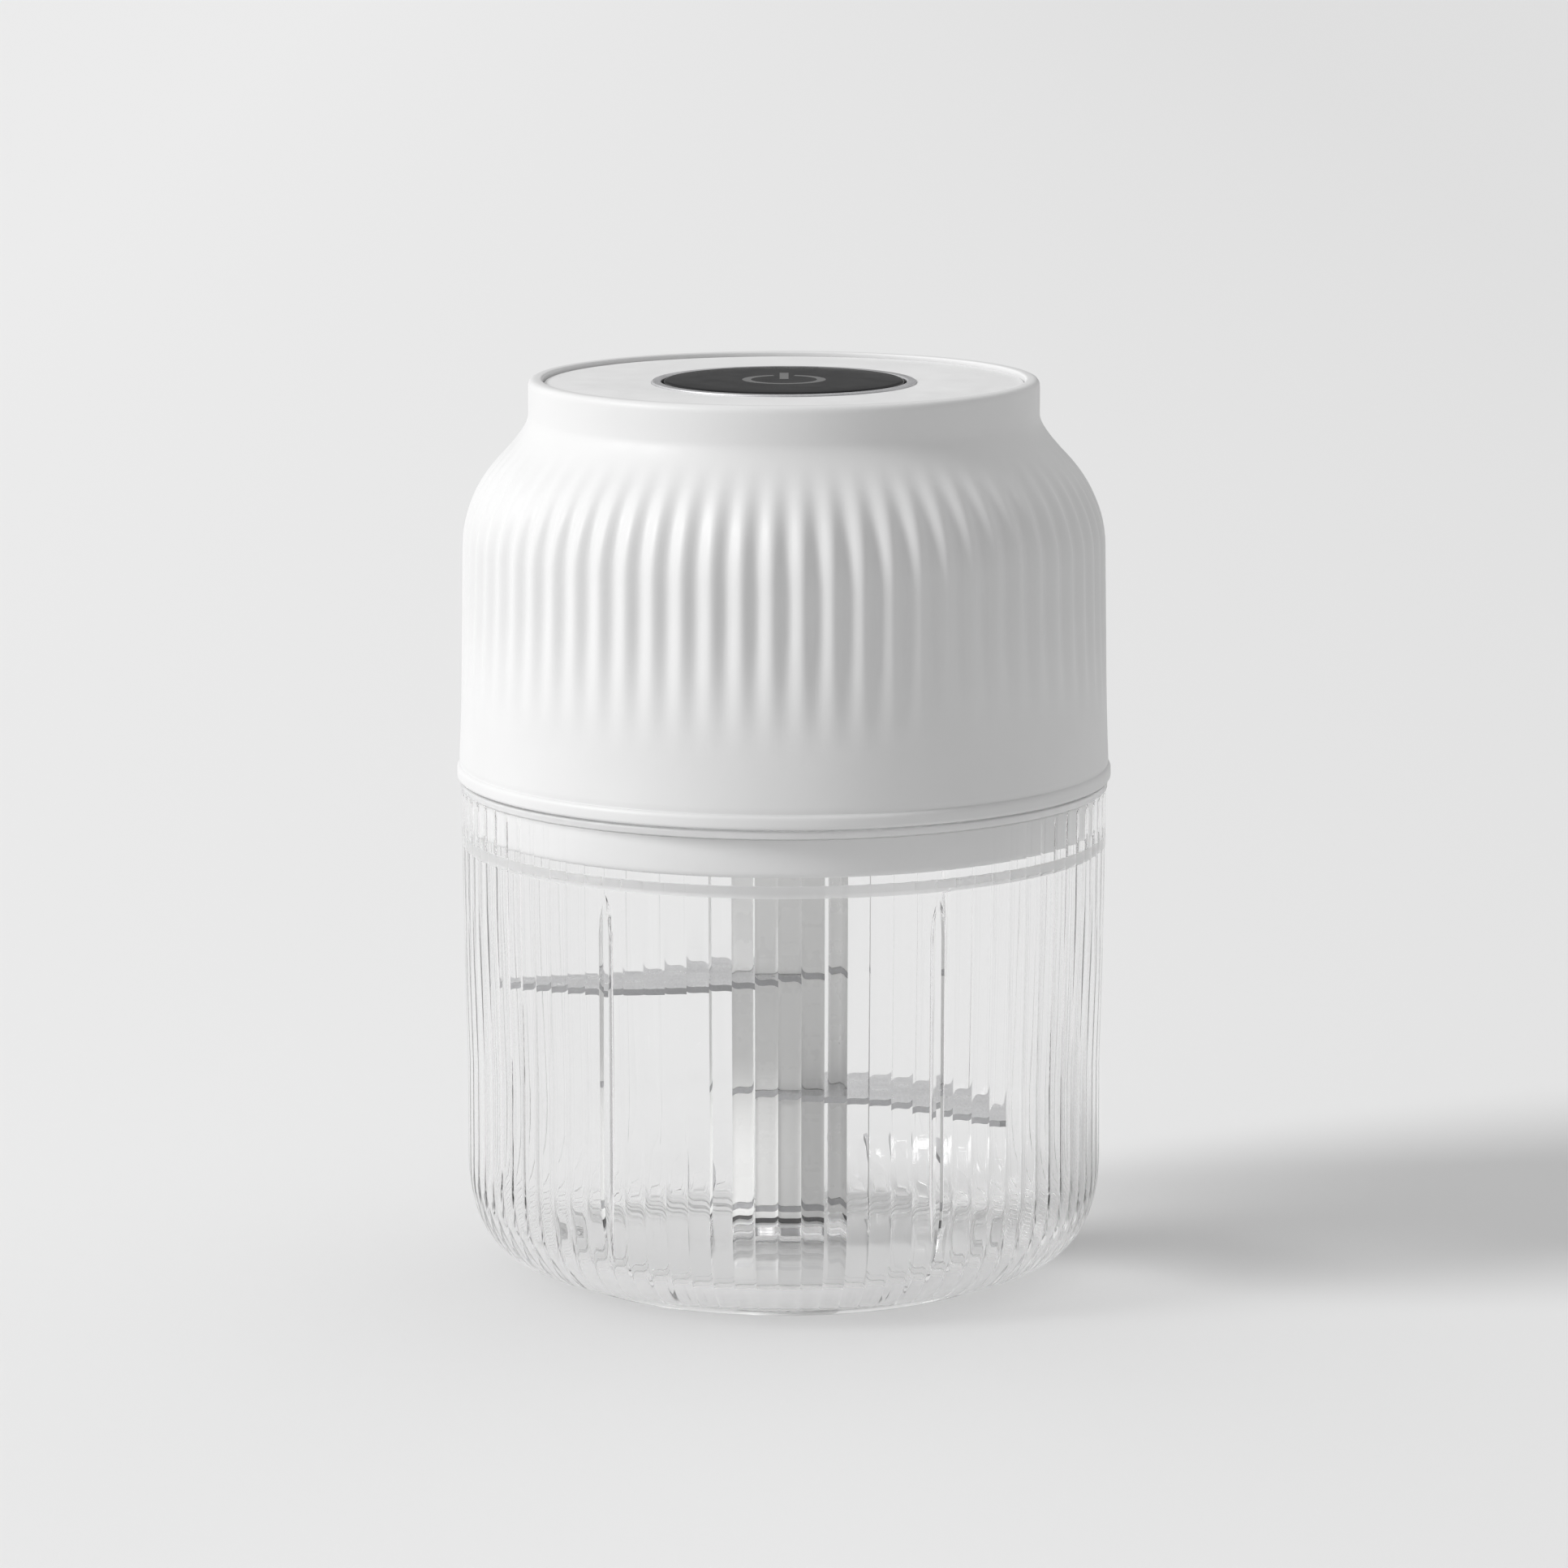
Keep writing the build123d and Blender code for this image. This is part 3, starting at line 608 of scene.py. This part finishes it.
class CHOPPER_OT_pivot(bpy.types.Operator):
    """Make the steel pin in the cup's floor and the washer on it"""
    bl_idname = "chopper.pivot"
    bl_label = "Pin and washer"

    def execute(self, context):
        low, high = low_high("bowl_pin")
        pin = rounded((0, low.z), (PIN_R, low.z, 0.1), (PIN_R, high.z, 0.8), (0, high.z, 0.3))
        piece("pivot_pin", lathe(pin[:-6] + [Vector((0, high.z))], 48), "cup", "bowl_pin")
        low, high = low_high("foot_washer")
        bore = PIN_R + 0.08
        washer = rounded((bore, low.z, 0.1), (high.x, low.z, 0.25), (high.x, high.z, 0.25),
                         (bore, high.z, 0.1))
        piece("washer", lathe(washer, 96), "blade_foot", "foot_washer")
        return {"FINISHED"}


# ---------------------------------------------------------------- the lid


def port_box(grow, depth):
    """A rounded block at the charging port, grown all round and bent to the lid's wall."""
    low, high = low_high("port_cover")
    shape = slab(high.x - low.x + 2 * grow, high.z - low.z + 2 * grow, depth, 2.0 + grow, 0.25)
    bmesh.ops.subdivide_edges(
        shape, edges=[e for e in shape.edges if abs((e.verts[0].co - e.verts[1].co).x) > 5 * MM],
        cuts=12, use_grid_fill=True)
    moved(shape, TIPPED)
    for vert in shape.verts:
        vert.co.y += math.sqrt((high.y * MM) ** 2 - vert.co.x ** 2)
        vert.co.z += (low.z + high.z) / 2 * MM
    return shape


class CHOPPER_OT_lid(bpy.types.Operator):
    """Make the fluted white lid"""
    bl_idname = "chopper.lid"
    bl_label = "Lid"

    def outline(self):
        neck, wall = 32.65, 2.0
        outside = rounded(
            (40.62, SEAM_Z, 0.1), (BEAD_R, SEAM_Z, 0.45), (BEAD_R, 66.15, 0.5),
            (41.62, 66.35, 0.12), (41.72, 67.0, 0.3), (41.45, 74.0, 4.0),
            (CAP_R, CAP_Z, 6.3, 7.0), (neck, 109.6, 5.1, 1.6), (neck, LID_TOP, 1.05, 0.95),
            (30.8, LID_TOP, 0.4))
        inside = rounded(
            (30.8, 113.7), (28.8, 113.7), (28.8, 111.7), (neck - wall, 111.7),
            (neck - wall, 109.6, 1.0), (CAP_R - wall, CAP_Z, 7.0, 6.3), (CAP_R - wall, 66.0),
            (40.62, 66.0))
        return split(outside, 2.0) + split(inside, 12.0)

    def execute(self, context):
        look = context.scene.chopper_lid
        shape = lathe(self.outline(), steps=look.flutes * 10)
        for vert in shape.verts:
            place = vert.co / MM
            facing = vert.normal.dot(Vector((place.x, place.y, 8)))
            if not 70.0 < place.z < 110.0 or facing < 0:
                continue
            wave = math.cos(math.radians(look.flutes * (front_angle(place) - FLUTE_CREST)))
            fade = smooth_step(place.z, 72.5, 91.0) * smooth_step(place.z, 109.0, 98.0)
            vert.co -= vert.normal * (0.5 * (1 - wave) * look.flute_depth * fade * MM)
        shape = joined(shape, port_box(0.35, 2.6), self.socket_hole(), self.light_hole())
        piece("lid_shell", shape, "lid", "housing")
        return {"FINISHED"}

    def socket_hole(self):
        low, high = low_high("usb_socket")
        shape = slab(high.x - low.x + 0.8, high.z - low.z + 0.8, 9.0, 1.6)
        moved(shape, TIPPED)
        centre = Vector((0, high.y + 1.0, (low.z + high.z) / 2)) * MM
        return moved(shape, Matrix.Translation(centre))

    def light_hole(self):
        low, high = low_high("charge_light")
        centre = (low + high) / 2 * MM
        shape = moved(rod(1.2, -6.0, 6.0), TIPPED)
        moved(shape, Matrix.Rotation(math.radians(-15), 4, "Z"))
        return moved(shape, Matrix.Translation(centre))


class CHOPPER_OT_underside(bpy.types.Operator):
    """Make the cover under the lid, the collar that drops into the cup, and its seal"""
    bl_idname = "chopper.underside"
    bl_label = "Underside and seal"

    def execute(self, context):
        low, high = low_high("base_cover")
        seal_low, seal_high = low_high("seal_ring")
        collar, groove, hole = 39.6, 38.6, 5.2
        outline = rounded(
            (hole, low.z, 0.4), (26.0, low.z), (collar, low.z, 0.9), (collar, seal_low.z, 0.15),
            (groove, seal_low.z), (groove, seal_high.z), (high.x, SEAM_Z), (high.x, 66.0),
            (37.6, 66.0), (37.6, 60.1), (hole, 60.1, 0.2))
        shape = lathe(outline, 256)
        cutters = []
        for angle in (30.0, 150.0, 270.0):
            place = polar(angle, 33.0)
            cutters.append(rod(3.0, low.z - 1, low.z + 1.5, place.x, place.y))
            cutters.append(rod(1.5, low.z - 1, 61.0, place.x, place.y))
        for side in (-1, 1):
            cutters.append(rod(2.2, low.z - 1, low.z + 1.2, 8.0 * side, 0))
            cutters.append(rod(1.0, low.z - 1, 61.0, 8.0 * side, 0))
        piece("collar", joined(shape, *cutters), "lid", "base_cover")
        edge, middle = seal_high.x - 0.3, (seal_low.z + seal_high.z) / 2
        outline = rounded(
            (groove, seal_low.z, 0.2), (edge, seal_low.z, 0.2), (seal_high.x, middle, 0.4),
            (edge, seal_high.z, 0.2), (groove, seal_high.z, 0.2))
        piece("lid_seal", lathe(outline, 256), "lid", "seal_ring")
        return {"FINISHED"}


class CHOPPER_OT_top(bpy.types.Operator):
    """Make the panel on top of the lid and the ring round the button"""
    bl_idname = "chopper.top"
    bl_label = "Top panel and ring"

    def execute(self, context):
        low, high = low_high("top_panel")
        ring_low, ring_high = low_high("button_bezel")
        hole_r, ring_r, flange_r = 15.7, 16.9, ring_high.x
        outline = rounded((ring_r + 0.02, low.z), (high.x, low.z), (high.x, high.z, 0.35),
                          (ring_r + 0.02, high.z, 0.15))
        piece("panel", lathe(outline, 256), "lid", "top_panel")
        outline = rounded(
            (hole_r, ring_low.z), (flange_r, ring_low.z), (flange_r, low.z - 0.02),
            (ring_r, low.z - 0.02), (ring_r, ring_high.z, 0.3), (hole_r, ring_high.z, 0.3))
        piece("button_ring", lathe(outline, 256), "lid", "button_bezel")
        return {"FINISHED"}


class CHOPPER_OT_button(bpy.types.Operator):
    """Make the push button and the power sign let into it"""
    bl_idname = "chopper.button"
    bl_label = "Button"

    def sign(self):
        """An open ring with a bar in its gap, as deep as the inlay."""
        low, high = low_high("power_icon")
        inner, outer, gap = 4.2, 5.35, 16.0
        ring = bmesh.new()
        start = math.radians(90 + gap)
        corners = [(inner, low.z), (outer, low.z), (outer, high.z), (inner, high.z)]
        face = ring.faces.new([ring.verts.new((r * MM, 0, z * MM)) for r, z in corners])
        bmesh.ops.rotate(ring, cent=(0, 0, 0), matrix=Matrix.Rotation(start, 3, "Z"),
                         verts=ring.verts)
        bmesh.ops.spin(ring, geom=[face], cent=(0, 0, 0), axis=(0, 0, 1), dvec=(0, 0, 0),
                       angle=math.radians(360 - 2 * gap), steps=72)
        bmesh.ops.recalc_face_normals(ring, faces=ring.faces)
        bar = slab(1.15, high.y - 0.4, high.z - low.z)
        middle = Vector((0, (high.y + 0.4) / 2, (low.z + high.z) / 2)) * MM
        return ring, moved(bar, Matrix.Translation(middle))

    def execute(self, context):
        low, high = low_high("power_button")
        cap = rounded((0, low.z + 0.9), (14.0, low.z + 0.9), (14.0, low.z), (high.x, low.z),
                      (high.x, high.z, 0.55), (11.0, high.z), (0, high.z))
        piece("push_button", joined(lathe(cap, 192), *self.sign()), "button", "power_button")
        ring, bar = self.sign()
        sign = joined(ring, bar, operation="UNION")
        moved(sign, Matrix.Translation((0, 0, -0.01 * MM)))
        piece("power_sign", sign, "button", "power_icon")
        return {"FINISHED"}


class CHOPPER_OT_port(bpy.types.Operator):
    """Make the soft flap over the charging socket"""
    bl_idname = "chopper.port"
    bl_label = "Charging port"

    def execute(self, context):
        low, high = low_high("port_cover")
        flap = port_box(0.0, 2.0)
        moved(flap, Matrix.Translation((0, -1.0 * MM, 0)))
        plug = slab(6.5, 0.7, 1.4, 0.3)
        moved(plug, TIPPED)
        moved(plug, Matrix.Translation(Vector((0, low.y + 0.7, (low.z + high.z) / 2)) * MM))
        piece("port_flap", joined(flap, plug, operation="UNION"), "port_cover", "port_cover")
        return {"FINISHED"}


# ---------------------------------------------------------------- the blade stack


class CHOPPER_OT_shaft(bpy.types.Operator):
    """Make the white sleeves that carry the blades, and the socket at the top"""
    bl_idname = "chopper.shaft"
    bl_label = "Blade shaft"

    def execute(self, context):
        bore, soft, socket_low, across_flats = 5.72, 0.18, 47.6, 7.5
        for node in ("end_collar", "lower_sleeve", "middle_sleeve"):
            low, high = low_high(node)
            outline = rounded((bore, low.z), (SHAFT_R, low.z, soft), (SHAFT_R, high.z, soft),
                              (bore, high.z))
            piece("shaft_" + node, lathe(outline, 96), "blades", node)
        low, high = low_high("drive_sleeve")
        outline = rounded(
            (bore, low.z), (SHAFT_R, low.z, soft), (SHAFT_R, high.z, 0.5), (0, high.z), (0, 46.05),
            (bore, 46.05))
        socket = rod(across_flats / math.sqrt(3), socket_low, high.z + 1, sides=6)
        moved(socket, Matrix.Rotation(math.radians(30), 4, "Z"))
        piece("shaft_socket", joined(lathe(outline, 96), socket), "blades", "drive_sleeve")
        return {"FINISHED"}


class CHOPPER_OT_blades(bpy.types.Operator):
    """Make the three steel blades, each with a ground cutting edge"""
    bl_idname = "chopper.blades"
    bl_label = "Blades"

    def outline(self):
        """One wing and its hub: the cutting edge, the tip, the back and the hub's round."""
        cutting = [(90, 7.0), (65, 10.0), (42, 16.5), (25, 25.0), (11, 31.5), (0, 36.8)]
        tip = polar(-3, 36.5)
        back = [(-3.5, 19.0), (-14, 13.8), (-46, 9.5), (-74, SHAFT_R)]
        hub = [polar(turn, SHAFT_R) for turn in range(-82, -262, -10)]
        return self.curve(cutting) + [tip] + self.curve(back) + hub

    def curve(self, places):
        """Points along a smooth line through places given as an angle and a radius."""
        line = bpy.data.curves.new("line", "CURVE")
        spline = line.splines.new("NURBS")
        spline.points.add(len(places) - 1)
        for point, place in zip(spline.points, places):
            point.co = (*polar(*place), 0, 1)
        spline.use_endpoint_u = True
        spline.order_u = 3
        spline.resolution_u = 8
        holder = bpy.data.objects.new("line", line)
        mesh = bpy.data.meshes.new_from_object(holder)
        points = [vert.co.xy.copy() for vert in mesh.vertices]
        bpy.data.objects.remove(holder)
        bpy.data.curves.remove(line)
        bpy.data.meshes.remove(mesh)
        return points

    def execute(self, context):
        look = context.scene.chopper_blades
        # The blades' upright sides: rougher as a cut finish, and given darker steel as painted
        # shade.
        cut_edge_painted_shade = metal("cut_edge_painted_shade", look.shaded_edge_colour, 0.45)
        for node, turn in BLADE_TURNS.items():
            low, high = low_high(node)
            shape = bmesh.new()
            places = self.outline()
            face = shape.faces.new([shape.verts.new((p.x * MM, p.y * MM, 0)) for p in places])
            shape.normal_update()
            if face.normal.z < 0:
                face.normal_flip()
            thick = (high.z - low.z) * MM
            made = bmesh.ops.extrude_face_region(shape, geom=[face], use_keep_orig=True)
            bmesh.ops.translate(shape, vec=(0, 0, thick), verts=only_verts(made["geom"]))
            self.grind(shape, face, look.ground_width, thick)
            bmesh.ops.recalc_face_normals(shape, faces=shape.faces)
            moved(shape, Matrix.Rotation(math.radians(turn), 4, "Z"))
            moved(shape, Matrix.Translation((0, 0, low.z * MM)))
            blade = piece("steel_" + node, shape, "blades", node, crease=12.0)
            blade.data.materials.append(cut_edge_painted_shade)
            for side in blade.data.polygons:
                if abs(side.normal.z) < 0.3:
                    side.material_index = 1
        return {"FINISHED"}

    def grind(self, shape, face, width, thick):
        """Grind the underside up towards the cutting edge over a width."""
        rim = face.verts[:]
        bmesh.ops.inset_region(shape, faces=[face], thickness=width * MM, use_even_offset=False,
                               use_boundary=True)
        for vert in rim:
            place = vert.co / MM
            radius = math.hypot(place.x, place.y)
            angle = math.degrees(math.atan2(place.y, place.x))
            if radius > 12.0 and angle > -1.5:
                vert.co.z += 0.3 * thick * smooth_step(radius, 12.0, 17.0)


class CHOPPER_OT_inside(bpy.types.Operator):
    """Give every piece that stays as it is in the frame its own finish"""
    bl_idname = "chopper.inside"
    bl_label = "Inner parts"

    def execute(self, context):
        for node, obj in frame["nodes"].items():
            material = finish(NODE_SLOT[node])
            for slot in obj.material_slots:
                slot.material = material
        self.spring()
        return {"FINISHED"}

    def spring(self):
        """Wind the coil that stands on the board under the button."""
        low, high = low_high("button_spring")
        wire, winding, turns, steps = 0.25, 6.0, 2.5, 120
        shape = bmesh.new()
        bmesh.ops.create_circle(
            shape, cap_ends=False, segments=12, radius=wire * MM,
            matrix=Matrix.Translation((winding * MM, 0, (low.z + wire) * MM)) @ TIPPED)
        rise = (high.z - low.z - 2 * wire) * MM
        bmesh.ops.spin(shape, geom=shape.edges[:], cent=(0, 0, 0), axis=(0, 0, 1),
                       dvec=(0, 0, rise / steps), angle=math.radians(360 * turns), steps=steps)
        bmesh.ops.holes_fill(shape, edges=[edge for edge in shape.edges if edge.is_boundary])
        bmesh.ops.recalc_face_normals(shape, faces=shape.faces)
        coil = dressed("button_coil", shape, "button_spring", crease=40.0)
        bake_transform(coil)
        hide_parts("button_spring")


# ---------------------------------------------------------------- the stage


class CHOPPER_OT_stage(bpy.types.Operator):
    """Make the pale floor, the key light, the surroundings and the camera"""
    bl_idname = "chopper.stage"
    bl_label = "Stage"

    def surroundings(self, scene, look):
        """Light from all round, dim from the front, but more even for what shows through glass."""
        world = bpy.data.worlds.new("studio")
        world.use_nodes = True
        tree = world.node_tree
        background = tree.nodes["Background"]
        background.inputs["Color"].default_value = (1, 1, 1, 1)
        place = tree.nodes.new("ShaderNodeTexCoord")

        def toward(direction):
            """How nearly a ray points one way, from -1 to 1."""
            dot = tree.nodes.new("ShaderNodeVectorMath")
            dot.operation = "DOT_PRODUCT"
            dot.inputs[1].default_value = Vector(direction).normalized()
            tree.links.new(place.outputs["Generated"], dot.inputs[0])
            return dot.outputs["Value"]

        def graded(source, start, end, low, high):
            """A smooth step from low, where the source is at start, to high at end."""
            ramp = tree.nodes.new("ShaderNodeMapRange")
            ramp.interpolation_type = "SMOOTHSTEP"
            for name, value in zip(("From Min", "From Max", "To Min", "To Max"),
                                   (start, end, low, high)):
                ramp.inputs[name].default_value = value
            tree.links.new(source, ramp.inputs["Value"])
            return ramp.outputs["Result"]

        behind = toward((-0.20, 0.75, 0.60))
        card = graded(toward((0, 0.97, 0.22)), 0.87, 0.955, 1.0, look.flag)
        lit = tree.nodes.new("ShaderNodeMath")
        lit.operation = "MULTIPLY"
        tree.links.new(graded(behind, -0.9, 0.9, look.dim, look.fill), lit.inputs[0])
        tree.links.new(card, lit.inputs[1])
        rays = tree.nodes.new("ShaderNodeLightPath")
        either = tree.nodes.new("ShaderNodeMix")
        seen_through = graded(behind, -0.9, 0.9, look.glow, look.fill)
        tree.links.new(rays.outputs["Is Transmission Ray"], either.inputs["Factor"])
        tree.links.new(lit.outputs["Value"], either.inputs["A"])
        tree.links.new(seen_through, either.inputs["B"])
        tree.links.new(either.outputs["Result"], background.inputs["Strength"])
        scene.world = world

    def execute(self, context):
        look = context.scene.chopper_stage
        scene = context.scene
        shape = bmesh.new()
        bmesh.ops.create_grid(shape, x_segments=8, y_segments=8, size=8.0)
        floor = as_object("floor", shape)
        shader = Shader("floor_paper", look.floor, roughness=0.85)
        # Painted shade: the floor's colour grades darker from left to right, standing in for the
        # key light's fall-off.
        sides = shader.node("ShaderNodeSeparateXYZ")
        shader.link(shader.place, sides.inputs["Vector"])
        across = shader.node("ShaderNodeMapRange", interpolation_type="SMOOTHSTEP")
        across.inputs["From Min"].default_value = -1.2
        across.inputs["From Max"].default_value = 1.2
        shader.link(sides.outputs["X"], across.inputs["Value"])
        darker = [0.88 * part for part in look.floor]  # painted shade: the floor is darker towards the right, as if the key light fell off
        shader.vary_colour(across.outputs["Result"], darker)
        shader.bump(shader.noise(0.8, 2.0), 0.01)
        floor.data.materials.append(shader.material)

        sun = bpy.data.lights.new("key", "SUN")
        sun.energy = look.key
        sun.angle = math.radians(look.softness)
        obj = bpy.data.objects.new("key", sun)
        obj.rotation_euler = (0, math.radians(look.height - 90), math.radians(look.side))
        scene.collection.objects.link(obj)
        self.surroundings(scene, look)
        scene.view_settings.view_transform = "Standard"
        # Light turns many times inside the reeded wall, and too few bounces show as black lines.
        scene.cycles.max_bounces = scene.cycles.transmission_bounces = 24
        scene.cycles.glossy_bounces = scene.cycles.transparent_max_bounces = 16

        camera = bpy.data.cameras.new("camera")
        camera.lens = 158.6
        camera.sensor_width = 36.0
        obj = bpy.data.objects.new("camera", camera)
        obj.location = (0, -0.8775, 0.213)
        looking_down = 9.69
        obj.rotation_euler = (math.radians(90 - looking_down), 0, 0)
        scene.collection.objects.link(obj)
        scene.camera = obj
        return {"FINISHED"}


OPERATORS = (
    CHOPPER_OT_cup, CHOPPER_OT_pivot, CHOPPER_OT_lid, CHOPPER_OT_underside, CHOPPER_OT_top,
    CHOPPER_OT_button, CHOPPER_OT_port, CHOPPER_OT_shaft, CHOPPER_OT_blades, CHOPPER_OT_inside,
    CHOPPER_OT_stage,
)
SETTINGS = {
    "chopper_cup": CupSettings, "chopper_lid": LidSettings, "chopper_top": TopSettings,
    "chopper_blades": BladeSettings, "chopper_stage": StageSettings,
}


class CHOPPER_PT_panel(bpy.types.Panel):
    """Lists the chopper's pieces and their settings"""
    bl_idname = "CHOPPER_PT_panel"
    bl_label = "Mini Food Chopper"
    bl_space_type = "VIEW_3D"
    bl_region_type = "UI"
    bl_category = "Chopper"

    def draw(self, context):
        for name, group in SETTINGS.items():
            box = self.layout.box()
            for setting in group.__annotations__:
                box.prop(getattr(context.scene, name), setting)
        for operator in OPERATORS:
            self.layout.operator(operator.bl_idname)


def register():
    for group in SETTINGS.values():
        bpy.utils.register_class(group)
    for name, group in SETTINGS.items():
        setattr(bpy.types.Scene, name, bpy.props.PointerProperty(type=group))
    for operator in OPERATORS:
        bpy.utils.register_class(operator)
    bpy.utils.register_class(CHOPPER_PT_panel)


def unregister():
    bpy.utils.unregister_class(CHOPPER_PT_panel)
    for operator in reversed(OPERATORS):
        bpy.utils.unregister_class(operator)
    for name, group in SETTINGS.items():
        delattr(bpy.types.Scene, name)
        bpy.utils.unregister_class(group)


def main():
    register()
    bpy.ops.chopper.cup()
    bpy.ops.chopper.pivot()
    bpy.ops.chopper.lid()
    bpy.ops.chopper.underside()
    bpy.ops.chopper.top()
    bpy.ops.chopper.button()
    bpy.ops.chopper.port()
    bpy.ops.chopper.shaft()
    bpy.ops.chopper.blades()
    bpy.ops.chopper.inside()
    bpy.ops.chopper.stage()


if __name__ == "__main__":
    main()
